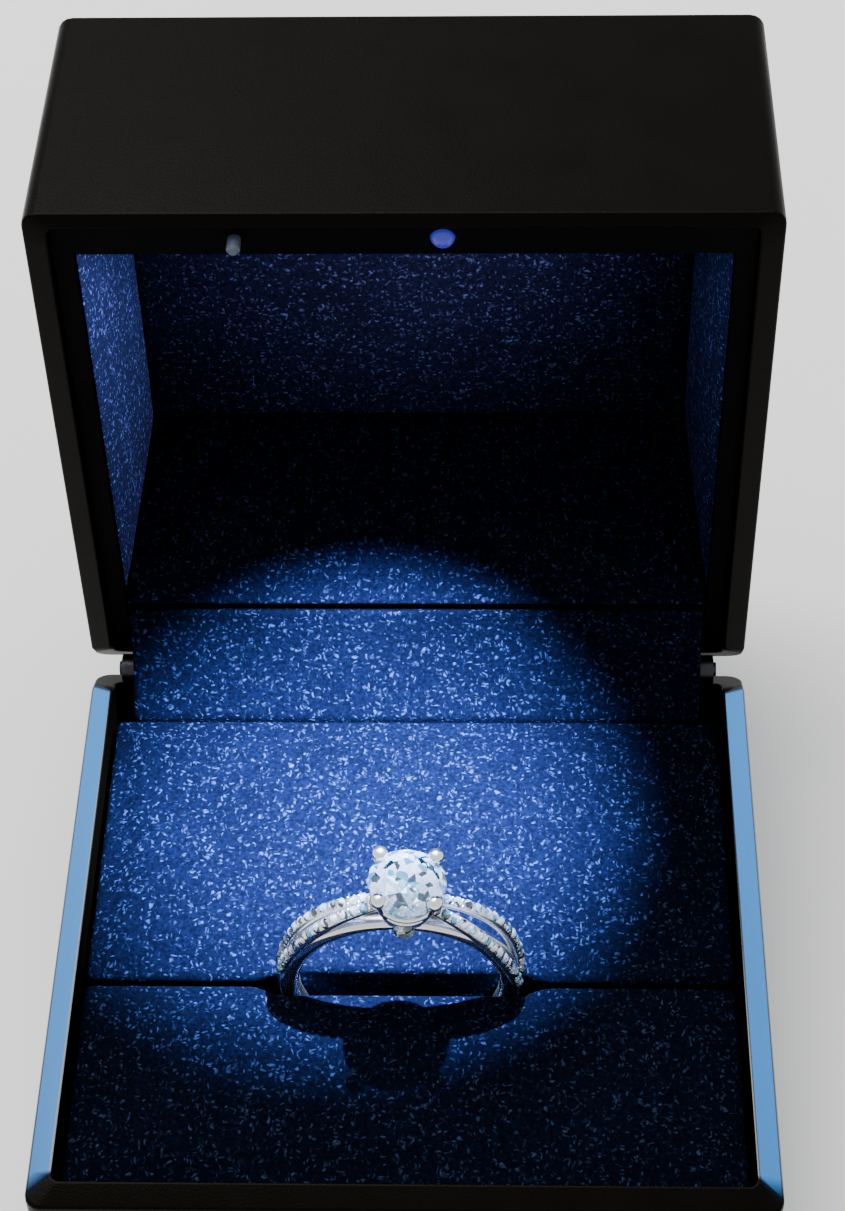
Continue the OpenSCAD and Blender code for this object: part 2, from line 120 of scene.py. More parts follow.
# %% Mesh helpers
def grid_faces(n, m, wrap_n=False, wrap_m=False, start=0):
    """Four-sided faces that join neighbours of an n by m grid of points, numbered row by row."""
    i, j = np.arange(n if wrap_n else n - 1), np.arange(m if wrap_m else m - 1)
    i, j = np.meshgrid(i, j, indexing="ij")
    i2, j2 = (i + 1) % n, (j + 1) % m
    faces = np.stack([i * m + j, i2 * m + j, i2 * m + j2, i * m + j2], -1)
    return (faces.reshape(-1, 4) + start).tolist()


def piece(name, points, faces, body, material, smooth=True, sharp=None, outward=True):
    """A mesh object from points and faces, riding on a body. sharp is the angle, in degrees,
    past which an edge stays crisp."""
    mesh = bpy.data.meshes.new(name)
    mesh.from_pydata(np.asarray(points, float).reshape(-1, 3).tolist(), [], faces)
    if outward:
        faces_out(mesh)
    mesh.shade_smooth() if smooth else mesh.shade_flat()
    if sharp is not None:
        mesh.set_sharp_from_angle(angle=math.radians(sharp))
    made = bpy.data.objects.new(name, mesh)
    bpy.context.scene.collection.objects.link(made)
    mesh.materials.append(material)
    if body:
        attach(made, body)
    print(f"{name}: {len(mesh.polygons)} faces")
    return made


def faces_out(mesh):
    """Merges doubled points of a closed mesh and turns its faces to point outwards."""
    bm = bmesh.new()
    bm.from_mesh(mesh)
    bmesh.ops.remove_doubles(bm, verts=bm.verts, dist=1e-7)
    bmesh.ops.recalc_face_normals(bm, faces=bm.faces)
    bm.to_mesh(mesh)
    bm.free()


def tube(path, radius, sides=16, up=(0, 1, 0)):
    """Points of a tube: at each point of the path, a circle of that point's radius across the
    path's direction. up is any direction that the path never takes."""
    path = np.asarray(path, float)
    along = np.gradient(path, axis=0)
    along /= np.linalg.norm(along, axis=1, keepdims=True)
    side = np.cross(along, np.array(up, float))
    side /= np.linalg.norm(side, axis=1, keepdims=True)
    other = np.cross(side, along)
    turn = np.linspace(0, 2 * np.pi, sides, endpoint=False)
    r = np.broadcast_to(np.asarray(radius, float), (len(path),))[:, None, None]
    ring = np.cos(turn)[None, :, None] * side[:, None] + np.sin(turn)[None, :, None] * other[:, None]
    return path[:, None] + r * ring


def tube_faces(n, sides):
    """Faces of an open tube of n rings, with both ends capped."""
    ends = [list(range(sides))[::-1], [(n - 1) * sides + k for k in range(sides)]]
    return grid_faces(n, sides, wrap_m=True) + ends


def joined(parts):
    """Several (points, faces) pairs as one list of points and one of faces."""
    points, faces, count = [], [], 0
    for p, f in parts:
        p = np.asarray(p, float).reshape(-1, 3)
        points.append(p)
        faces += [[v + count for v in face] for face in f]
        count += len(p)
    return np.concatenate(points), faces


# %% [markdown]
# ## Camera
# The box is seen from in front and well above, close enough for clear perspective. The lens is
# a fairly long one, and its picture is shifted, so the lid's sides stay nearly upright.

# %% Camera
lens_px, frame_px = 2658.7, (845, 1211)
shift_px = -135.5
eye = (0.00833, -0.13778, 0.22869)
yaw, pitch, roll = map(math.radians, (-2.47, 47.04, -1.8))
ahead = np.array([math.sin(yaw) * math.cos(pitch), math.cos(yaw) * math.cos(pitch), -math.sin(pitch)])
level = np.array([math.cos(yaw), -math.sin(yaw), 0.0])
over = np.cross(level, ahead)
right = math.cos(roll) * level + math.sin(roll) * over
up = math.cos(roll) * over - math.sin(roll) * level
camera_data = bpy.data.cameras.new("camera")
camera = bpy.data.objects.new("camera", camera_data)
bpy.context.scene.collection.objects.link(camera)
placed = Matrix.Identity(4)
for row in range(3):
    placed[row][0], placed[row][1], placed[row][2] = right[row], up[row], -ahead[row]
    placed[row][3] = eye[row]
camera.matrix_world = placed
camera_data.sensor_width = 36
camera_data.lens = lens_px / frame_px[1] * 36
camera_data.shift_y = shift_px / frame_px[1]
camera_data.clip_start, camera_data.clip_end = 0.01, 20
bpy.context.scene.camera = camera
print("lens", round(camera_data.lens, 1))

# %% [markdown]
# ## Floor and light
# A product table: a plain pale floor, one broad soft light overhead, and a dim even sky. The
# light inside the box comes from its own lamp, so the studio light stays gentle.


# %% Floor and studio light
def light(name, kind, place, target, power, colour, **settings):
    """A light at place, facing target."""
    data = bpy.data.lights.new(name, kind)
    data.energy, data.color = power, colour
    for key, value in settings.items():
        setattr(data, key, value)
    made = bpy.data.objects.new(name, data)
    bpy.context.scene.collection.objects.link(made)
    facing = (np.array(target, float) - np.array(place, float)).tolist()
    made.rotation_euler = Vector(facing).to_track_quat("-Z", "Y").to_euler()
    made.location = [float(v) for v in place]
    return made


floor_mesh = bpy.data.meshes.new("floor")
reach = 3.0
floor_mesh.from_pydata([(-reach, -reach, 0), (reach, -reach, 0), (reach, reach, 0), (-reach, reach, 0)],
                       [], [[0, 1, 2, 3]])
floor = bpy.data.objects.new("floor", floor_mesh)
bpy.context.scene.collection.objects.link(floor)
floor_paint = bpy.data.materials.new("floor_paint")
floor_paint.use_nodes = True
floor_shader = floor_paint.node_tree.nodes["Principled BSDF"]
floor_shader.inputs["Base Color"].default_value = (0.80, 0.80, 0.81, 1)
floor_shader.inputs["Roughness"].default_value = 0.7
floor_mesh.materials.append(floor_paint)

world = bpy.data.worlds.new("studio")
bpy.context.scene.world = world
world.use_nodes = True
world.node_tree.nodes["Background"].inputs["Color"].default_value = (0.94, 0.97, 1.0, 1)
world.node_tree.nodes["Background"].inputs["Strength"].default_value = 1.0
overhead = light("overhead", "AREA", (-0.25, 0.35, 0.9), (0, 0.03, 0.03), 15.0, (1.0, 0.97, 0.93),
                 size=0.8)
print("studio lights:", overhead.name, world.name)

# %% [markdown]
# Two cool panels stand behind the box, one on each side, where the base's rims mirror them, so
# the rims draw two blue lines along the sides. They light only the base.

# %% Cool panels for the rims
base_only = bpy.data.collections.new("lit_by_panels")
panels = []
for side in (-1, 1):
    panel = light(f"panel_{'left' if side < 0 else 'right'}", "AREA", (side * 0.63, 0.60, 0.55),
                  (side * 0.03, 0.0, 0.02), 12.0, (0.02, 0.34, 1.0), size=0.5)
    panel.light_linking.receiver_collection = base_only
    panels.append(panel)
print("panels:", [p.name for p in panels])

# %% [markdown]
# The lamp in the lid throws a narrow, cool beam down on the ring. The lens spreads it, so the
# light seems to start a little in front of the bezel, and it is small, so its shadows are crisp.
# Some of it also leaks sideways and washes the lid's lining. All of it rides on the lid, and the
# beam leaves the floor alone, where it would only draw a stray spot past the base's wall.

# %% The lamp's beam and its wash
lamp_lo, lamp_hi = corners("lamp")
lamp_tip = (lamp_lo + lamp_hi) / 2
lamp_tip[1] = lamp_lo[1] - 0.4 * MM
beam_start = lamp_tip + np.array([0, -18.0, 0.0]) * MM
beam = light("lamp_beam", "SPOT", beam_start, (-4.5 * MM, 11.3 * MM, 19.0 * MM), 14.5,
             (0.40, 0.54, 1.0), spot_size=math.radians(58), spot_blend=1.0, shadow_soft_size=0.35 * MM)
spared = bpy.data.collections.new("not_lit_by_beam")
spared.objects.link(floor)
spared.collection_objects[0].light_linking.link_state = "EXCLUDE"
beam.light_linking.receiver_collection = spared
wash = light("lamp_wash", "SPOT", beam_start, (-1.0 * MM, 49.0 * MM, 66.0 * MM), 0.5,
             (1.0, 0.70, 1.0), spot_size=math.radians(78), spot_blend=1.0, shadow_soft_size=0.8 * MM)
side_washes = [light(f"lamp_wash_{side}", "SPOT", lamp_tip - np.array([0, 1.0, 0]) * MM,
                     (reach_x * MM, 38.0 * MM, 52.0 * MM), power, (0.62, 0.60, 1.0),
                     spot_size=math.radians(110), spot_blend=1.0, shadow_soft_size=0.8 * MM)
               for side, reach_x, power in (("left", -28.0, 1.5), ("right", 28.0, 0.16))]
ceiling_only = bpy.data.collections.new("lit_by_wash")
cards_only = bpy.data.collections.new("lit_by_side_washes")
wash.light_linking.receiver_collection = ceiling_only
for side_wash in side_washes:
    side_wash.light_linking.receiver_collection = cards_only
for lamp_light in [beam, wash] + side_washes:
    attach(lamp_light, "lid")
print("lamp tip", [round(float(v) * 1000, 1) for v in lamp_tip])


# %% [markdown]
# ## Finishes
# Effects that several finishes share are node groups, built once: fine grain for bump and
# roughness, and the short pile of velvet with its glints. Each material places a group with its
# own values and keeps its shader to itself.


# %% Node group helpers
def new_group(name, inputs, outputs):
    """A shader node group; inputs and outputs are (name, kind, default) with kind Float or
    Color or Vector."""
    group = bpy.data.node_groups.new(name, "ShaderNodeTree")
    for title, kind, value in inputs:
        socket = group.interface.new_socket(name=title, in_out="INPUT", socket_type="NodeSocket" + kind)
        if value is not None:
            socket.default_value = value
    for title, kind in outputs:
        group.interface.new_socket(name=title, in_out="OUTPUT", socket_type="NodeSocket" + kind)
    return group, group.nodes.new("NodeGroupInput"), group.nodes.new("NodeGroupOutput")


def node(tree, kind, links=(), **values):
    """A node with its settings and inputs filled in. A value given as a socket is linked."""
    made = tree.nodes.new("ShaderNode" + kind)
    for key, value in values.items():
        if hasattr(made, key):
            setattr(made, key, value)
        else:
            made.inputs[key.replace("_", " ")].default_value = value
    for key, source in dict(links).items():
        tree.links.new(source, made.inputs[key])
    return made


def ramp(tree, source, stops):
    """A grey ramp between two (position, brightness) stops."""
    made = node(tree, "ValToRGB", {0: source})
    ends = made.color_ramp.elements[0], made.color_ramp.elements[1]
    for element, (position, v) in zip(ends, (stops[0], stops[-1])):
        element.position, element.color = position, (v, v, v, 1)
    return made


# %% Grain: small bumps and uneven roughness
grain, g_in, g_out = new_group(
    "grain",
    [("Size", "Float", 2500.0), ("Depth", "Float", 0.2), ("Roughness", "Float", 0.4),
     ("Spread", "Float", 0.1)],
    [("Normal", "Vector"), ("Roughness", "Float")])
place = node(grain, "TexCoord").outputs["Object"]
fine = node(grain, "TexNoise", {"Vector": place, "Scale": g_in.outputs["Size"]}, Detail=3.0)
broad = node(grain, "TexNoise", {"Vector": place}, Scale=180.0, Detail=4.0)
bump = node(grain, "Bump", {"Height": fine.outputs[0], "Strength": g_in.outputs["Depth"]},
            Distance=0.0002)
swing = node(grain, "MapRange", {"Value": broad.outputs[0]},
             From_Min=0.3, From_Max=0.7, To_Min=-1.0, To_Max=1.0)
uneven = node(grain, "Math",
              {0: swing.outputs[0], 1: g_in.outputs["Spread"], 2: g_in.outputs["Roughness"]},
              operation="MULTIPLY_ADD")
grain.links.new(bump.outputs[0], g_out.inputs["Normal"])
grain.links.new(uneven.outputs[0], g_out.inputs["Roughness"])
print("group", grain.name)

# %% [markdown]
# Velvet is a dense standing pile. Most fibres point at the light and look near black, and the
# few that lie over catch it and flash. The group paints those flashes into the colour as painted
# glints: short strokes in two directions, each with its own random strength, over a fine mottle,
# and it shades whole patches up and down where the pile was brushed.

# %% Pile: velvet's mottle, painted glint strokes and brushed patches
# Glint is the colour of the painted glints, fibre flashes painted into the base colour
pile, p_in, p_out = new_group(
    "pile",
    [("Deep", "Color", (0.0002, 0.0004, 0.0018, 1)), ("Lit", "Color", (0.0009, 0.0019, 0.0078, 1)),
     ("Glint", "Color", (0.020, 0.034, 0.080, 1)), ("Size", "Float", 2650.0), ("Share", "Float", 0.45)],
    [("Color", "Color"), ("Normal", "Vector")])
place = node(pile, "TexCoord").outputs["Object"]
stir = node(pile, "TexNoise", {"Vector": place}, Scale=1100.0, Detail=1.0)
pushed = node(pile, "VectorMath", {0: stir.outputs["Color"]}, operation="MULTIPLY")
pushed.inputs[1].default_value = (0.0011, 0.0011, 0.0011)
bent = node(pile, "VectorMath", {0: place, 1: pushed.outputs[0]}, operation="ADD")
cut = node(pile, "Math", {1: p_in.outputs["Share"]}, operation="SUBTRACT")
cut.inputs[0].default_value = 1.0
strokes = []
for squeeze in ((0.62, 1.25, 1.1), (1.25, 0.62, 0.8)):
    squeezed = node(pile, "VectorMath", {0: bent.outputs[0]}, operation="MULTIPLY")
    squeezed.inputs[1].default_value = squeeze
    grains = node(pile, "TexVoronoi", {"Vector": squeezed.outputs[0], "Scale": p_in.outputs["Size"]},
                  Randomness=1.0)
    core = ramp(pile, grains.outputs["Distance"], [(0.05, 1.0), (0.46, 0.0)])
    chance = node(pile, "SeparateColor", {0: grains.outputs["Color"]})
    picked = node(pile, "Math", {0: chance.outputs[0], 1: cut.outputs[0]}, operation="SUBTRACT")
    power = node(pile, "MapRange", {"Value": picked.outputs[0]},
                 From_Min=0.0, From_Max=0.45, To_Min=0.0, To_Max=1.0)
    sharp_power = node(pile, "Math", {0: power.outputs[0]}, operation="POWER")
    sharp_power.inputs[1].default_value = 1.8
    strokes.append(node(pile, "Math", {0: sharp_power.outputs[0], 1: core.outputs[0]},
                        operation="MULTIPLY"))
# the strokes are painted glints: fibre flashes painted into the base colour as brighter specks
painted_glint = node(pile, "Math", {0: strokes[0].outputs[0], 1: strokes[1].outputs[0]}, operation="MAXIMUM")
fuzz = node(pile, "TexNoise", {"Vector": place}, Scale=3000.0, Detail=2.0)
patch = node(pile, "TexNoise", {"Vector": place}, Scale=95.0, Detail=3.0, Roughness=0.6)
patch_range = ramp(pile, patch.outputs[0], [(0.3, 0.55), (0.7, 1.0)])
fuzz_range = ramp(pile, fuzz.outputs[0], [(0.34, 0.1), (0.68, 1.0)])
lift = node(pile, "Math", {0: patch_range.outputs[0], 1: fuzz_range.outputs[0]}, operation="MULTIPLY")
body_mix = node(pile, "Mix", {"Factor": lift.outputs[0], 6: p_in.outputs["Deep"],
                              7: p_in.outputs["Lit"]}, data_type="RGBA")
glint_mix = node(pile, "Mix", {"Factor": painted_glint.outputs[0], 6: body_mix.outputs[2],
                               7: p_in.outputs["Glint"]}, data_type="RGBA")
height = node(pile, "Math", {0: fuzz.outputs[0], 1: painted_glint.outputs[0]}, operation="ADD")
pile_bump = node(pile, "Bump", {"Height": height.outputs[0]}, Strength=0.35, Distance=0.0002)
pile.links.new(glint_mix.outputs[2], p_out.inputs["Color"])
pile.links.new(pile_bump.outputs[0], p_out.inputs["Normal"])
print("group", pile.name)


# %% [markdown]
# A cut stone shows patches of white fire, pale blue-green and dark, smaller than its facets and
# with straight sides. They are painted here as painted fire and painted reflections: Voronoi
# cells, each given one of four tones by chance, paint them into the stone's colour.

# %% Sparkle: painted fire and painted dark reflections in a stone
sparkle, s_in, s_out = new_group("sparkle", [("Size", "Float", 1500.0)], [("Color", "Color")])
place = node(sparkle, "TexCoord").outputs["Object"]
patches = node(sparkle, "TexVoronoi", {"Vector": place, "Scale": s_in.outputs["Size"]}, Randomness=1.0)
patch_chance = node(sparkle, "SeparateColor", {0: patches.outputs["Color"]})
# painted fire and painted reflections: white, pale blue-green, teal and near-black tones painted into
# the stone's colour
painted_fire = node(sparkle, "ValToRGB", {0: patch_chance.outputs[0]})
painted_fire.color_ramp.interpolation = "CONSTANT"
painted_fire.color_ramp.elements[0].color = (0.002, 0.018, 0.028, 1)
painted_fire.color_ramp.elements[1].color = (1.0, 1.0, 1.0, 1)
painted_fire.color_ramp.elements[1].position = 0.56
for position, colour in ((0.26, (0.06, 0.30, 0.38, 1)), (0.44, (0.45, 0.85, 0.92, 1))):
    painted_fire.color_ramp.elements.new(position).color = colour
sparkle.links.new(painted_fire.outputs[0], s_out.inputs["Color"])
print("group", sparkle.name)


# %% Finish helper
def finish_of(name, group, feeds, settings, **sockets):
    """A material: a Principled shader with plain values on its own sockets, and a group's
    outputs linked to the sockets that feeds names."""
    made = bpy.data.materials.new(name)
    made.use_nodes = True
    tree = made.node_tree
    shader = tree.nodes["Principled BSDF"]
    for key, value in sockets.items():
        shader.inputs[key.replace("_", " ")].default_value = value
    used = tree.nodes.new("ShaderNodeGroup")
    used.node_tree = group
    for key, value in settings.items():
        used.inputs[key].default_value = value
    for source, target in feeds.items():
        tree.links.new(used.outputs[source], shader.inputs[target])
    return made


def grained(name, size, depth, roughness, spread, **sockets):
    """A finish with the grain group's small bumps and uneven roughness."""
    return finish_of(name, grain, {"Normal": "Normal", "Roughness": "Roughness"},
                     {"Size": size, "Depth": depth, "Roughness": roughness, "Spread": spread},
                     **sockets)


# %% [markdown]
# The case is moulded plastic under near-black brown lacquer: satin, with a fine skin. The sides
# of the base's rim are polished to a gloss, which the surface carries as an attribute named rim.

# %% Lacquer, plastics and metals
lacquer = grained("case_lacquer", 5200.0, 0.14, 0.30, 0.05,
                  Base_Color=(0.0016, 0.0011, 0.0004, 1), Specular_IOR_Level=0.03,
                  Coat_Roughness=0.22, Coat_IOR=1.6)
polish = node(lacquer.node_tree, "Attribute", attribute_name="rim")
lacquer_shader = lacquer.node_tree.nodes["Principled BSDF"]
lacquer.node_tree.links.new(polish.outputs["Fac"], lacquer_shader.inputs["Coat Weight"])
moulded = grained("bezel_plastic", 4200.0, 0.35, 0.55, 0.08,
                  Base_Color=(0.0005, 0.0005, 0.0006, 1), Specular_IOR_Level=0.02)
hinge_steel = grained("hinge_steel", 3000.0, 0.12, 0.34, 0.1,
                      Base_Color=(0.035, 0.035, 0.04, 1), Metallic=1.0)
spring_steel = grained("spring_steel", 6000.0, 0.1, 0.22, 0.06,
                       Base_Color=(0.60, 0.60, 0.62, 1), Metallic=1.0)
ring_metal = grained("ring_metal", 4000.0, 0.03, 0.21, 0.04,
                     Base_Color=(0.88, 0.89, 0.91, 1), Metallic=1.0)
card_board = grained("board_card", 1800.0, 0.5, 0.85, 0.06,
                     Base_Color=(0.13, 0.12, 0.11, 1))
board_green = grained("circuit_board", 1500.0, 0.12, 0.32, 0.08,
                      Base_Color=(0.012, 0.09, 0.035, 1))
plunger_white = grained("plunger_plastic", 4000.0, 0.1, 0.4, 0.08,
                        Base_Color=(0.045, 0.055, 0.085, 1))
cell_steel = grained("cell_steel", 2500.0, 0.1, 0.25, 0.1,
                     Base_Color=(0.60, 0.60, 0.58, 1), Metallic=1.0)
contact_brass = grained("contact_brass", 3000.0, 0.1, 0.3, 0.1,
                        Base_Color=(0.62, 0.43, 0.14, 1), Metallic=1.0)
wire_jacket = grained("wire_jacket", 3500.0, 0.15, 0.5, 0.05,
                      Base_Color=(0.22, 0.012, 0.010, 1))
# the velvet's colour carries the pile group's painted glints
velvet = finish_of("velvet", pile, {"Color": "Base Color", "Normal": "Normal"}, {},
                   Roughness=0.95, Specular_IOR_Level=0.02)
# the stones' colour is the sparkle group's painted fire and painted reflections
stone_glass = finish_of("clear_stone", sparkle, {"Color": "Base Color"}, {},
                        Roughness=0.02, IOR=2.2, Transmission_Weight=0.90)
lamp_glow = grained("lamp_lens", 3000.0, 0.1, 0.3, 0.05,
                    Base_Color=(0.02, 0.02, 0.12, 1), Emission_Color=(0.05, 0.06, 1.0, 1),
                    Emission_Strength=0.28)
print("finishes:", len(bpy.data.materials))

# %% [markdown]
# ## The two shells
# Each shell is one closed skin. A profile runs from the underside, up the outer face, over the
# sloping rim and down the inner face, and it is carried round the case's plan. Where the long
# cut over the hinge starts, a station of the plan has its outer point further back than its
# inner one, so the mitre is a true straight edge.


# %% Shell surface
def outline(half, front, back, radius, breaks, arc=5):
    """Plan of a wall, anticlockwise from the front right corner: quarter circles at the corners,
    and points at the breaks on both side walls."""
    turn = np.linspace(0, np.pi / 2, arc)

    def corner(cx, cy, start):
        return np.stack([cx + radius * np.cos(start + turn), cy + radius * np.sin(start + turn)], -1)

    breaks = np.array(breaks)
    side = np.stack([np.full(len(breaks), half), breaks], -1)
    return np.concatenate([
        corner(half - radius, front + radius, -np.pi / 2), side,
        corner(half - radius, back - radius, 0.0), corner(-half + radius, back - radius, np.pi / 2),
        side[::-1] * [-1, 1], corner(-half + radius, front + radius, np.pi)])


def shell(height, floor_t, front_wall, rear_cut, rear_drop, rim_drop):
    """A tray standing on z = 0. Rim height is the lower of the rim's own slope and the cut over
    the hinge, height - (y - rear_start) x rear_drop / rear_cut. Small curves round the rim and
    the foot."""
    inner_half, rear_start = half_w - wall, half_d - rear_cut
    fall = rear_drop / rear_cut
    breaks = [-half_d + polish_from, -0.3 * half_d, 0.3 * half_d]
    outer = outline(half_w, -half_d, half_d, 1.4 * MM, breaks + [rear_start + rim_drop / fall])
    inner = outline(inner_half, -half_d + front_wall, half_d - wall, 0.8 * MM, breaks + [rear_start])
    out_z = np.minimum(height - rim_drop, height - (outer[:, 1] - rear_start) * fall)
    in_z = np.minimum(height - rim_drop * np.where(inner[:, 1] < -half_d + wall - 1e-6, 0.4, 0.0),
                      height - np.maximum(inner[:, 1] - rear_start, 0) * fall)
    # soft is the share of the rim that its rounded edges take, edge how far they reach down
    soft, edge, foot = 0.11, 0.22 * MM, 0.45 * MM

    def level(share, z):
        spot = outer + share * (inner - outer)
        return np.column_stack([spot, np.broadcast_to(z, (len(spot),))])

    def on_rim(share, sunk=0.0):
        return level(share, out_z + share * (in_z - out_z) - sunk)

    rings = [level(0.24, 0.0), level(0.10, 0.05 * MM), level(0.02, 0.2 * MM), level(0, foot),
             level(0, out_z - edge), level(0.2 * soft, out_z - 0.35 * edge),
             on_rim(0.5 * soft, 0.1 * edge), on_rim(soft), on_rim(1 - soft),
             on_rim(1 - 0.5 * soft, 0.08 * edge),
             level(1 - 0.1 * soft, in_z - 0.4 * edge), level(1, in_z - edge), level(1, floor_t)]
    points = np.stack(rings)
    n, m = points.shape[:2]
    faces = grid_faces(n, m, wrap_m=True)
    faces += [list(range(m))[::-1], [(n - 1) * m + k for k in range(m)]]
    return points, faces


def finish_shell(made):
    """Keeps the broad faces flat while the rounded edges stay smooth."""
    weighted = made.modifiers.new("flat_faces", "WEIGHTED_NORMAL")
    weighted.keep_sharp, weighted.weight = True, 100
    return made


rear_cut, rear_drop, rim_drop = 4.9 * MM, 3.0 * MM, 0.8 * MM
polish_from = 3.3 * MM
base_points, base_faces = shell(base_h, 2 * MM, wall, rear_cut, rear_drop, rim_drop)
case_base = finish_shell(piece("case_base", base_points, base_faces, "root", lacquer,
                               sharp=60))
rim = case_base.data.attributes.new("rim", "FLOAT", "POINT")
on_the_rim = np.zeros(len(case_base.data.vertices), np.float32)
# rings 5 to 10 of the profile are the rim; its front and rear stretches stay satin
count, along_side = base_points.shape[1], base_points[7, :, 1]
at_side = ((along_side > -half_d + polish_from - 0.1 * MM)
           & (along_side < half_d - rear_cut + 1.6 * MM))
on_the_rim[5 * count:11 * count] = np.tile(at_side, 6)
rim.data.foreach_set("value", on_the_rim)
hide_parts("base_shell")
lid_h = lid_top - lid_lo[2]
lid_points, lid_faces = shell(lid_h, 2.2 * MM, 1.3 * MM, rear_cut, rear_drop, rim_drop)
lid_points[..., 2] = lid_top - lid_points[..., 2]
case_lid = finish_shell(piece("case_lid", turned(lid_points, open_turn), lid_faces, "lid",
                              lacquer, sharp=60))
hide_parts("lid_shell")
print("lid height", round(float(lid_h) * 1000, 2))

# %% [markdown]
# ## The cushion
# Two blocks of foam are wrapped in velvet and pushed together, so the slot between them is only
# a dark line, and the ring spreads it where it stands. Each block starts as a rounded box, is
# swelled a little by cloth simulation so its faces crown, and is then kept to the case's width.


# %% Pad helpers
def rounded_box(lo, hi, step, ease):
    """A closed box of even cells with rounded edges. Each point of the box is split into its
    nearest point of a box smaller by ease all round, and an offset from it, and the offset is
    kept no longer than ease."""
    lo, hi = np.array(lo, float), np.array(hi, float)
    half = (hi - lo) / 2
    parts = []
    for axis in range(3):
        a, b = [k for k in range(3) if k != axis]
        lines = []
        for k in (a, b):
            cells = int(max(2, round(2 * half[k] / step)))
            inside = np.linspace(-half[k] + ease, half[k] - ease, cells + 1)
            bend = half[k] - ease * (1 - np.tan(np.radians([11.25, 22.5, 33.75, 45])))
            lines.append(np.concatenate([-bend[::-1], inside, bend]))
        u, v = np.meshgrid(*lines, indexing="ij")
        for side in (-1.0, 1.0):
            p = np.empty(u.shape + (3,))
            p[..., a], p[..., b], p[..., axis] = u, v, side * half[axis]
            core = np.clip(p, -(half - ease), half - ease)
            off = p - core
            far = np.linalg.norm(off, axis=-1, keepdims=True)
            eased = core + off * ease / np.maximum(far, 1e-9) + (lo + hi) / 2
            parts.append((eased, grid_faces(*u.shape)))
    return joined(parts)


def inflate(made, pressure, cap, scale=10.0, frames=16):
    """Cloth simulation with pressure and no gravity, run at ten times size for steadiness. No
    point may move further than cap."""
    rest = read_points(made.data)
    made.data.vertices.foreach_set("co", (rest * scale).astype(np.float32).ravel())
    cloth = made.modifiers.new("swell", "CLOTH")
    cloth.settings.use_pressure = True
    cloth.settings.uniform_pressure_force = pressure
    cloth.settings.effector_weights.gravity = 0
    cloth.settings.quality = 5
    scene = bpy.context.scene
    for step in range(1, frames + 1):
        scene.frame_set(step)
    shaped = made.evaluated_get(bpy.context.evaluated_depsgraph_get()).to_mesh()
    moved = read_points(shaped) / scale - rest
    made.modifiers.remove(cloth)
    scene.frame_set(1)
    far = np.linalg.norm(moved, axis=1, keepdims=True)
    moved *= np.minimum(1.0, cap / np.maximum(far, 1e-9))
    print(f"{made.name}: swelled up to {1000 * float(far.max()):.2f} mm")
    return rest + moved


def set_points(made, points):
    """Puts points back into a mesh."""
    made.data.vertices.foreach_set("co", np.asarray(points, np.float32).ravel())
    made.data.update()


ring_half_w, ring_centre_x = 11.1 * MM, -0.9 * MM
ring_hold, slot_rest = 1.15 * MM, 0.22 * MM


def slot_edge(x):
    """Half the slot's width along it: closed to its rest, and opened to the band's half
    width by a smooth step where the ring passes through."""
    away = (np.abs(x - ring_centre_x) - ring_half_w) / (2.2 * MM)
    ease = np.clip(1 - away, 0, 1)
    return slot_rest + (ring_hold - slot_rest) * ease * ease * (3 - 2 * ease)


def pad(name, lo, hi, faces_slot, node_name):
    """One velvet pad: a rounded box, swelled by simulation, then kept to the case and the slot.
    Only the outward part of the swelling counts, so the rolled edges stay crisp."""
    points, faces = rounded_box(lo, hi, 1.1 * MM, 0.75 * MM)
    made = piece(name, points, faces, None, velvet)
    rest, out = read_points(made.data), read_points(made.data, "normal")
    shaped = rest
    moved = inflate(made, 3.0, 0.9 * MM) - rest
    shaped = rest + np.clip((moved * out).sum(1, keepdims=True), 0, 0.55 * MM) * out
    shaped[:, 0] = np.clip(shaped[:, 0], lo[0] - 0.35 * MM, hi[0] + 0.35 * MM)
    # the side at the slot moves until it meets the slot's edge line
    near = slot_y + faces_slot * slot_edge(shaped[:, 0])
    wall_y, reach = (lo[1] if faces_slot > 0 else hi[1]), hi[1] - lo[1]
    share = np.clip(1 - np.abs(shaped[:, 1] - wall_y) / (0.35 * reach), 0, 1) ** 2
    deep = np.clip((cushion_top - shaped[:, 2]) / (6 * MM), 0, 1)
    shaped[:, 1] += (near - wall_y) * share * (1 - 0.35 * deep)
    set_points(made, shaped)
    smooth = made.modifiers.new("smooth", "SUBSURF")
    smooth.levels = smooth.render_levels = 1
    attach(made, "root")
    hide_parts(node_name)


pad("pad_rear", rear_lo, rear_hi, 1.0, "cushion_rear")
pad("pad_front", front_lo, front_hi, -1.0, "cushion_front")

# %% [markdown]
# ## The lid's lining
# Five velvet-covered cards line the lid. Each is a patch between four corners, slightly crowned,
# with its edges rolled over.


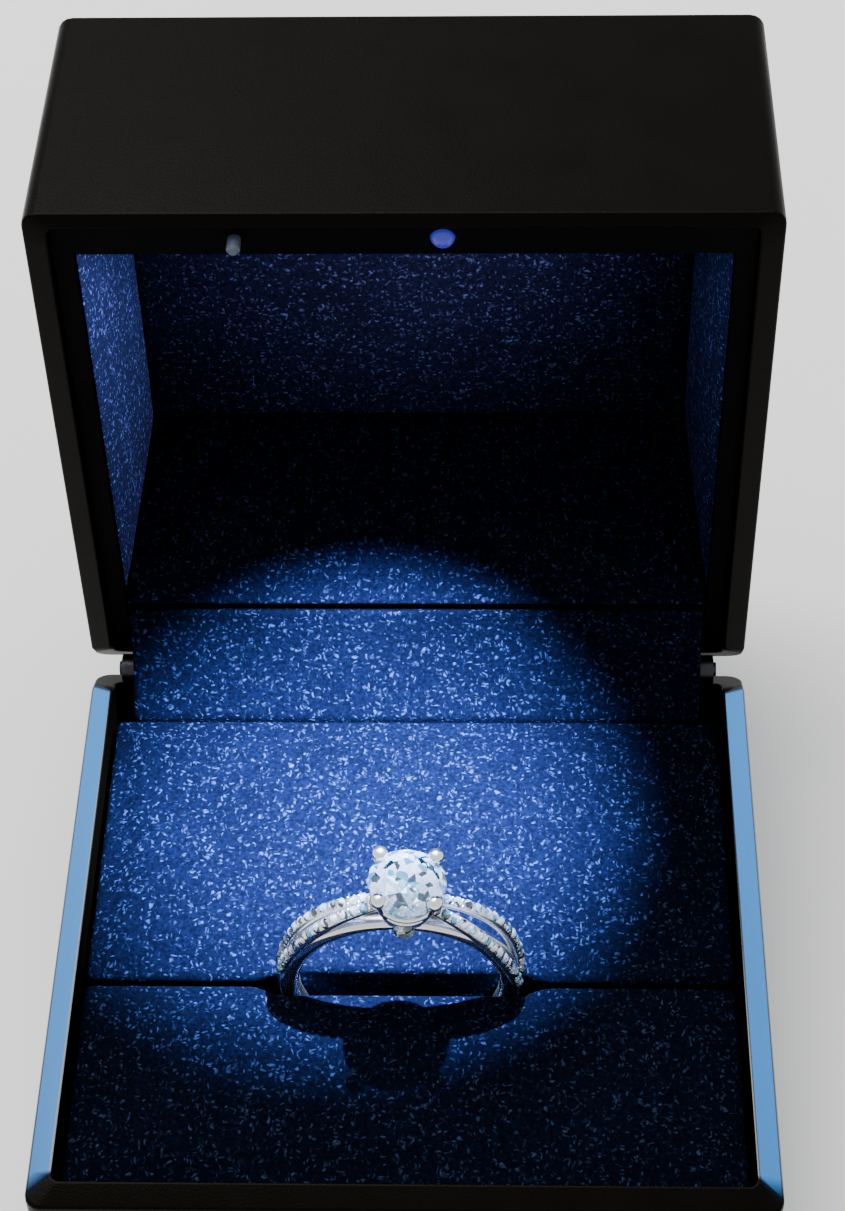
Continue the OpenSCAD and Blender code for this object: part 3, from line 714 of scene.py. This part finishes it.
# %% Lining cards
def card(name, corner_points, thick, crown, node_name):
    """A padded card: a bilinear patch between four corners, raised along its normal by
    crown x (1 - u^4)(1 - v^4) for u and v from -1 to 1. Its two faces round over and meet at the
    rim as a half circle as thick as the card."""
    c = np.array(corner_points, float)
    u, v = np.meshgrid(*(np.sin(np.linspace(-1, 1, n) * np.pi / 2) for n in (48, 32)), indexing="ij")
    s, t = ((u + 1) / 2)[..., None], ((v + 1) / 2)[..., None]
    flat = c[0] * (1 - s) * (1 - t) + c[1] * s * (1 - t) + c[2] * s * t + c[3] * (1 - s) * t
    normal = np.cross(c[1] - c[0], c[3] - c[0])
    normal /= np.linalg.norm(normal)
    rise = crown * (1 - u ** 4) * (1 - v ** 4)
    edge_u = np.clip((1 - np.abs(u)) * np.linalg.norm(c[1] - c[0]) / 2 / thick, 0, 1)
    edge_v = np.clip((1 - np.abs(v)) * np.linalg.norm(c[3] - c[0]) / 2 / thick, 0, 1)
    edge = np.minimum(edge_u, edge_v)
    round_over = np.sqrt(np.clip(1 - (1 - edge) ** 2, 0, 1))
    front = flat + normal * (rise + thick / 2 * (round_over - 1))[..., None]
    back = flat - normal * (thick / 2 + thick / 2 * round_over)[..., None]
    n, m = u.shape
    points = np.concatenate([front.reshape(-1, 3), back.reshape(-1, 3)])
    faces = grid_faces(n, m) + [f[::-1] for f in grid_faces(n, m, start=n * m)]
    made = piece(name, turned(points, open_turn), faces, "lid", velvet)
    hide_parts(node_name)
    return made


ceiling_lo = corners("lining_ceiling", shut=True)[0]
rear_card_lo, rear_card_hi = corners("lining_rear", shut=True)
front_card_lo, front_card_hi = corners("lining_front", shut=True)
left_lo, left_hi = corners("lining_left", shut=True)
foot_x, top_x = -left_lo[0] - 0.6 * MM, -left_hi[0]
ceiling_z = ceiling_lo[2]
rear_foot, rear_top = rear_card_hi[1] - 1.0 * MM, rear_card_lo[1]
front_foot, front_top = front_card_lo[1] + 0.4 * MM, front_card_hi[1]
card_foot, card_low = rear_card_lo[2], left_lo[2]
top_z, side_z = ceiling_z + 0.3 * MM, ceiling_z + 0.6 * MM
print("cards", [round(float(v) * 1000, 2) for v in (foot_x, top_x, ceiling_z, rear_foot, front_foot)])
lining_ceiling = card("velvet_ceiling",
                      [(-top_x, rear_top, ceiling_z), (top_x, rear_top, ceiling_z),
                       (top_x, front_top, ceiling_z), (-top_x, front_top, ceiling_z)],
                      1.0 * MM, 0.35 * MM, "lining_ceiling")
card("velvet_rear",
     [(-foot_x, rear_foot, card_foot), (foot_x, rear_foot, card_foot),
      (top_x, rear_top, top_z), (-top_x, rear_top, top_z)],
     0.6 * MM, 0.25 * MM, "lining_rear")
card("velvet_front",
     [(foot_x, front_foot, card_low), (-foot_x, front_foot, card_low),
      (-top_x, front_top, top_z), (top_x, front_top, top_z)],
     0.6 * MM, 0.25 * MM, "lining_front")
side_foot = front_foot - 0.3 * MM, rear_foot + 0.4 * MM
side_top = front_top - 0.3 * MM, rear_top + 0.4 * MM
lining_left = card("velvet_left",
                   [(-foot_x, side_foot[0], card_low), (-foot_x, side_foot[1], card_low),
                    (-top_x, side_top[1], side_z), (-top_x, side_top[0], side_z)],
                   1.0 * MM, 0.5 * MM, "lining_left")
lining_right = card("velvet_right",
                    [(foot_x, side_foot[1], card_low), (foot_x, side_foot[0], card_low),
                     (top_x, side_top[0], side_z), (top_x, side_top[1], side_z)],
                    1.0 * MM, 0.5 * MM, "lining_right")

# %% [markdown]
# ## The velvet flap
# A strip of velvet hides the hinge. It is glued behind the cushion and under the lid's rear card,
# and hangs between them in a hollow curve. It folds as the lid turns, but here it is built in one
# pose and rides on no body.

# %% Flap
flap_lo, flap_hi = corners("hinge_flap")
flap_foot = np.array([rear_hi[1] + 0.55 * MM, cushion_top - 0.1 * MM])
flap_head = np.array([flap_hi[1] - 0.4 * MM, flap_hi[2] + 0.25 * MM])
flap_bend = (flap_foot + flap_head) / 2 + np.array([0.5, -1.0]) * MM
share = np.linspace(0, 1, 30)[:, None]
curve = flap_foot * (1 - share) ** 2 + flap_bend * 2 * share * (1 - share) + flap_head * share ** 2
tuck = np.linspace(cushion_top - 6.5 * MM, flap_foot[1] - 0.3 * MM, 8)
tucked = np.stack([np.full(len(tuck), flap_foot[0]), tuck], -1)
curve = np.concatenate([tucked, curve])
across = np.linspace(flap_lo[0], flap_hi[0], 90)
flap_points = np.empty((len(curve), len(across), 3))
flap_points[..., 0] = across
swell = np.sin(np.linspace(0, np.pi, len(curve)))[:, None]
sway = 0.12 * MM * np.sin(across / (3.1 * MM) + 0.7) * swell
flap_points[..., 1] = curve[:, :1] + sway
flap_points[..., 2] = curve[:, 1:]
flap = piece("velvet_flap", flap_points, grid_faces(*flap_points.shape[:2]), None, velvet,
             outward=False)
wall_of_flap = flap.modifiers.new("thickness", "SOLIDIFY")
wall_of_flap.thickness, wall_of_flap.offset = 0.6 * MM, 0.0
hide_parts("hinge_flap")
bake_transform(flap)

# %% [markdown]
# ## The ring
# A white-metal band whose shoulders split in two on each side and rise to a four-claw head.
# Both strands carry small set stones. Everything is worked out in the ring's own frame, with
# z towards the centre stone and y along the finger, and then stood in the slot.

# %% Ring frame
ring_tilt = math.radians(4)
ring_place = np.array([ring_centre_x, slot_y, cushion_top + 0.4 * MM])
inner_r, band_t = 9.1 * MM, 2.0 * MM
outer_r = inner_r + band_t


def in_slot(points):
    """Ring-frame points turned about y by the ring's lean and moved to where it stands."""
    p = np.asarray(points, float)
    x, z = p[..., 0], p[..., 2]
    turned_p = np.stack([x * math.cos(ring_tilt) + z * math.sin(ring_tilt), p[..., 1],
                         z * math.cos(ring_tilt) - x * math.sin(ring_tilt)], -1)
    return turned_p + ring_place


# %% [markdown]
# The band is a rounded section carried round a circle. Its outside is crowned and its inside
# nearly flat, for comfort, and it thins where it passes under the head.

# %% Band
def squared(a, power):
    """A sine or cosine raised to a power with its sign kept, which squares a circle's shape."""
    return np.sign(a) * np.abs(a) ** power


around = np.linspace(0, 2 * np.pi, 160, endpoint=False)
section = np.linspace(0, 2 * np.pi, 24, endpoint=False)
thin = 1 - 0.45 * np.exp(-((around - np.pi / 2) / 0.75) ** 2)
depth = (squared(np.cos(section), 0.8)[None, :] * thin[:, None]) * band_t / 2
radius = inner_r + band_t / 2 * thin[:, None] + depth
widen = (1 - 0.15 * (1 - thin) / 0.45)[:, None]
half_band = 1.0 * MM
band = np.stack([radius * np.cos(around)[:, None],
                 squared(np.sin(section), 0.75)[None, :] * half_band * widen,
                 radius * np.sin(around)[:, None]], -1)
parts = [(band, grid_faces(160, 24, wrap_n=True, wrap_m=True))]

# %% [markdown]
# A shoulder strand starts on the band, lifts off it and ends at the head. Its radius grows from
# the band's by a smooth rise, and the two strands of a side bow apart and meet again, so they
# leave a leaf-shaped opening.


# %% Shoulders
def strand(side, spread, lift, samples=48):
    """Path of a strand: at angle a from the finger's level, radius = band + rise s^1.5, where s
    runs 0 to 1 from foot to head, and y = spread (0.4 + 0.6 sin(pi s^0.85))."""
    s = np.linspace(0, 1, samples)
    a = np.radians(6 + 75 * s)
    r = outer_r - 0.45 * MM + (2.1 * s ** 1.5 + lift * np.sin(np.pi * s)) * MM
    y = spread * (0.4 + 0.6 * np.sin(np.pi * s ** 0.85)) * MM
    return np.stack([side * r * np.cos(a), y, r * np.sin(a)], -1)


strands = [(-1, -0.75, 0.0), (-1, 0.75, 0.25), (1, -1.2, -0.35), (1, 1.05, 0.45)]
for side, spread, lift in strands:
    path = strand(side, spread, lift)
    s = np.linspace(0, 1, len(path))
    girth = (0.46 + 0.20 * np.sin(np.pi * s) ** 0.7) * MM
    parts.append((tube(path, girth, 14), tube_faces(len(path), 14)))
print("strands:", len(strands))

# %% [markdown]
# The head is a basket: four claws lean out from a small cone, two rails tie them together, and
# the claws' ends curl over the stone as polished beads.

# %% Head
girdle_z = outer_r + 4.3 * MM
stone_r = 3.5 * MM
foot_z, foot_r = outer_r - 0.5 * MM, 1.25 * MM
claw_r, claw_z = stone_r + 0.12 * MM, girdle_z + 0.95 * MM
claw_turns = np.radians([45, 135, 225, 315])
rise = np.linspace(0, 1, 22)
for turn in claw_turns:
    hook = 0.75 * MM * np.clip((rise - 0.86) / 0.14, 0, 1) ** 2
    r = foot_r + (claw_r - foot_r) * rise ** 0.8 - hook
    z = foot_z + (claw_z - foot_z) * rise
    path = np.stack([r * np.cos(turn), r * np.sin(turn), z], -1)
    girth = (0.40 + 0.20 * np.clip((rise - 0.84) / 0.16, 0, 1)) * MM
    girth[-1] *= 0.55
    girth[-2] *= 0.92
    parts.append((tube(path, girth, 14), tube_faces(len(path), 14)))


def rail(z, radius, girth):
    """A round rail: a circle of small circles."""
    turn = np.linspace(0, 2 * np.pi, 64, endpoint=False)[:, None]
    small = np.linspace(0, 2 * np.pi, 12, endpoint=False)[None, :]
    r = radius + girth * np.cos(small)
    return np.stack([r * np.cos(turn), r * np.sin(turn), z + girth * np.sin(small) + 0 * turn], -1)


def ball(centre, radius, rows=10, sides=16):
    """A ball: rings of radius r cos(t) at height r sin(t), closed at both ends."""
    t = np.linspace(-1, 1, rows)[:, None] * np.radians(86)
    turn = np.linspace(0, 2 * np.pi, sides, endpoint=False)[None, :]
    return (np.stack([radius * np.cos(t) * np.cos(turn), radius * np.cos(t) * np.sin(turn),
                      radius * np.sin(t) + 0 * turn], -1) + centre, tube_faces(rows, sides))


ball_reach, ball_z = stone_r - 0.05 * MM, girdle_z + 0.85 * MM
for turn in claw_turns:
    centre = np.array([ball_reach * math.cos(turn), ball_reach * math.sin(turn), ball_z])
    parts.append(ball(centre, 0.72 * MM))
for share, girth in ((0.36, 0.28), (0.60, 0.30)):
    z = foot_z + (claw_z - foot_z) * share
    r = foot_r + (claw_r - foot_r) * share ** 0.8
    parts.append((rail(z, r, girth * MM), grid_faces(64, 12, wrap_n=True, wrap_m=True)))
cone = np.array([[0.9, -0.5], [1.25, 0.0], [1.55, 0.55], [1.35, 0.75], [0.6, 0.8]]) * MM
turn = np.linspace(0, 2 * np.pi, 40, endpoint=False)
cone_points = np.stack([cone[:, :1] * np.cos(turn), cone[:, :1] * np.sin(turn),
                        np.broadcast_to(foot_z + cone[:, 1:], (5, 40))], -1)
parts.append((cone_points, tube_faces(5, 40)))
ring_points, ring_faces = joined(parts)
ring_body = piece("ring_band_and_head", in_slot(ring_points), ring_faces, "root",
                  ring_metal, sharp=50)
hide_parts("ring_shank", "ring_head")

# %% [markdown]
# A round brilliant has a flat table, eight kites and eight stars between sixteen upper girdle
# facets, a thin girdle, and sixteen lower girdle facets over eight mains that meet at a point.
# Each ring of corners is placed so that the kites and the mains are flat.


# %% Brilliant cut
def brilliant(radius):
    """Corners and facets of a round brilliant with its girdle's foot at z = 0."""
    crown, pavilion, band_h, table = 0.31 * radius, 0.86 * radius, 0.06 * radius, 0.56 * radius
    k8, k16 = np.arange(8), np.arange(16)
    mid, low = 0.77 * radius, 0.25 * radius
    flat = math.cos(math.pi / 8)

    def ring(r, turns, z):
        return np.stack([r * np.cos(turns), r * np.sin(turns), np.full(len(turns), z)], -1)

    quarter = math.pi / 4
    points = np.concatenate([
        ring(table, (k8 + 0.5) * quarter, band_h + crown),
        ring(mid, k8 * quarter, band_h + crown * (radius - mid * flat) / (radius - table)),
        ring(radius, k16 * quarter / 2, band_h), ring(radius, k16 * quarter / 2, 0.0),
        ring(low, k8 * quarter, -pavilion * (1 - low * flat / radius)), [[0, 0, -pavilion]]])
    table_at, mid_at, up_at, down_at, low_at, tip = 0, 8, 16, 32, 48, 56
    faces = [list(range(8))]
    for k in range(8):
        n = (k + 1) % 8
        before, after = (2 * k - 1) % 16, (2 * k + 1) % 16
        faces += [[table_at + (k - 1) % 8, table_at + k, mid_at + k],
                  [table_at + k, mid_at + k, up_at + after, mid_at + n],
                  [mid_at + k, up_at + before, up_at + 2 * k],
                  [mid_at + k, up_at + 2 * k, up_at + after],
                  [low_at + k, down_at + 2 * k, down_at + before],
                  [low_at + k, down_at + after, down_at + 2 * k],
                  [tip, low_at + n, down_at + after, low_at + k]]
    faces += [[up_at + j, up_at + (j + 1) % 16, down_at + (j + 1) % 16, down_at + j] for j in range(16)]
    return points, faces


stone_points, stone_faces = brilliant(stone_r)
stone = piece("centre_brilliant", in_slot(stone_points + [0, 0, girdle_z]), stone_faces, "root",
              stone_glass, smooth=False)
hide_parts("centre_stone")
accent_r = 1.0 * MM
small_points, small_faces = brilliant(accent_r)
swung = np.stack([small_points[:, 0], -small_points[:, 2], small_points[:, 1]], -1)
swung += [0, -2.0 * MM, outer_r - 0.1 * MM]
accent = piece("accent_brilliant", in_slot(swung), small_faces, "root", stone_glass,
               smooth=False)
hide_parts("accent_stone")

# %% [markdown]
# The small set stones are low domes of a few facets, side by side along each strand, with a
# bead of metal between neighbours on both edges.


# %% Set stones and beads
def dome(radius, height, rows=4, sides=10):
    """A low faceted dome: rings at height h sin(t) and radius r cos(t), closed underneath."""
    t = np.linspace(0, np.pi / 2 * 0.82, rows)[:, None]
    turn = np.linspace(0, 2 * np.pi, sides, endpoint=False)[None, :]
    return (np.stack([radius * np.cos(t) * np.cos(turn), radius * np.cos(t) * np.sin(turn),
                      height * np.sin(t) + 0 * turn], -1), tube_faces(rows, sides))


def along(path, shares):
    """Places and headings at shares of a path's length."""
    step = np.linalg.norm(np.diff(path, axis=0), axis=1)
    run = np.concatenate([[0], np.cumsum(step)]) / step.sum()
    spot = np.stack([np.interp(shares, run, path[:, k]) for k in range(3)], -1)
    ahead_spot = np.stack([np.interp(shares + 0.01, run, path[:, k]) for k in range(3)], -1)
    behind = np.stack([np.interp(shares - 0.01, run, path[:, k]) for k in range(3)], -1)
    head = ahead_spot - behind
    head /= np.linalg.norm(head, axis=1, keepdims=True)
    return spot, head


def set_along(shape, shares, path, lean, raised):
    """Copies of a small shape on a strand, standing along the outward direction, which leans
    towards the front by lean."""
    spot, head = along(path, shares)
    out = spot * [1, 0, 1]
    out /= np.linalg.norm(out, axis=1, keepdims=True)
    out = out + np.array([0, lean, 0])
    out -= (out * head).sum(1, keepdims=True) * head
    out /= np.linalg.norm(out, axis=1, keepdims=True)
    side = np.cross(head, out)
    points, faces = shape
    flat_points = np.asarray(points).reshape(-1, 3)
    copies = (spot[:, None] + raised * out[:, None] + flat_points[None, :, :1] * head[:, None]
              + flat_points[None, :, 1:2] * side[:, None] + flat_points[None, :, 2:] * out[:, None])
    return [(c, faces) for c in copies]


stones, beads = [], []
for side, spread, lift in strands:
    path = strand(side, spread, lift)
    lean = -0.55 if spread < 0 else -0.15
    shares = np.linspace(0.05, 0.96, 15)
    stones += set_along(dome(0.5 * MM, 0.38 * MM), shares, path, lean, 0.40 * MM)
    gaps = (shares[:-1] + shares[1:]) / 2
    for edge in (-0.9, 0.7):
        beads += set_along(dome(0.2 * MM, 0.24 * MM, 3, 8), gaps, path, lean + edge, 0.42 * MM)
points, faces = joined(stones)
pave = piece("set_stones", in_slot(points), faces, "root", stone_glass, smooth=False)
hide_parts("pave_stones")
points, faces = joined(beads)
piece("setting_beads", in_slot(points), faces, "root", ring_metal)
print("set stones:", len(stones), "beads:", len(beads))

# %% [markdown]
# ## Hinge, lamp and switch
# The snap spring is a real coil here: a helix of wire round the pin with one leg down the base's
# leaf and one along the lid's. It winds up as the lid turns, but here it is built in one pose and
# rides on no body.


# %% Springs
def helix(radius, turns, length, samples):
    """A helix along x: angle 2 pi n s and place length s for s from 0 to 1."""
    s = np.linspace(0, 1, samples)
    a = 2 * np.pi * turns * s
    return np.stack([length * (s - 0.5), radius * np.cos(a), radius * np.sin(a)], -1)


spring_lo, spring_hi = corners("hinge_spring")
wire_r = 0.22 * MM
coil_r = 1.175 * MM
half_run = (spring_hi[0] - spring_lo[0]) / 2 - wire_r
coil = helix(coil_r, 18.25, 2 * half_run, 900)
coil *= [1, -1, 1]
leg = 3.6 * MM
foot_leg = np.stack([np.full(12, -half_run), np.full(12, -coil_r - 0.2 * MM),
                     np.linspace(-leg, -0.3 * MM, 12)], -1)
end_y = np.linspace(0.3 * MM, leg, 12)
head_leg = np.stack([np.full(12, half_run), end_y, np.full(12, coil_r + 0.2 * MM)], -1)
spring_path = np.concatenate([foot_leg, coil[6:-6], head_leg]) + [0, pin_y, pin_z]
spring = piece("snap_spring", tube(spring_path, wire_r, 8, up=(1, 0.02, 0.01)),
               tube_faces(len(spring_path), 8), None, spring_steel, sharp=60)
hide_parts("hinge_spring")
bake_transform(spring)

# %% [markdown]
# The switch's spring is a small coil behind the plunger. It is wound in the shut box, where it
# stands upright, and turned with the lid; it keeps one length, though the real one shortens
# towards its far end as the plunger is pushed in.

# %% Switch spring
coil_lo, coil_hi = corners("switch_spring", shut=True)
thread = 0.14 * MM
tall, middle = coil_hi[2] - coil_lo[2], (coil_lo + coil_hi) / 2
winding = helix((coil_hi[0] - coil_lo[0]) / 2 - thread, 5, tall - 2 * thread, 160)
winding = np.stack([winding[:, 1], winding[:, 2], winding[:, 0]], -1) + middle
press_spring = piece("press_spring", turned(tube(winding, thread, 8, up=(0.01, 0.02, 1)), open_turn),
                     tube_faces(len(winding), 8), "lid", spring_steel, sharp=60)
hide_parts("switch_spring")
far_end = turned(middle + [0, 0, tall / 2], open_turn)
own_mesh(press_spring)
print("switch spring", round(float(tall) * 1000, 2), "mm tall")

# %% [markdown]
# The frame's own parts are right in shape for the rest: bezel, hinge leaves, rivets, pin, lamp,
# board, switch and battery. They keep their shapes and get these finishes.

# %% Finishes for the frame's parts
finishes = {
    "cushion_card": card_board, "hinge_base_leaf": hinge_steel, "hinge_base_rivets": hinge_steel,
    "hinge_pin": hinge_steel, "lid_bezel": moulded, "hinge_lid_leaf": hinge_steel,
    "hinge_lid_rivets": hinge_steel, "lamp": lamp_glow, "lamp_board": board_green,
    "switch_body": moulded, "switch_plunger": plunger_white, "battery_holder": moulded,
    "coin_cells": cell_steel, "battery_contacts": contact_brass, "lamp_wires": wire_jacket,
}
for name, finish in finishes.items():
    slots = nodes[name].data.materials
    slots.clear()
    slots.append(finish)
print("finished frame parts:", len(finishes))

# %% [markdown]
# The panels reach only the base, and each of the lamp's washes only its own cards.

# %% What each linked light reaches
base_only.objects.link(case_base)
ceiling_only.objects.link(lining_ceiling)
for lined in (lining_left, lining_right):
    cards_only.objects.link(lined)
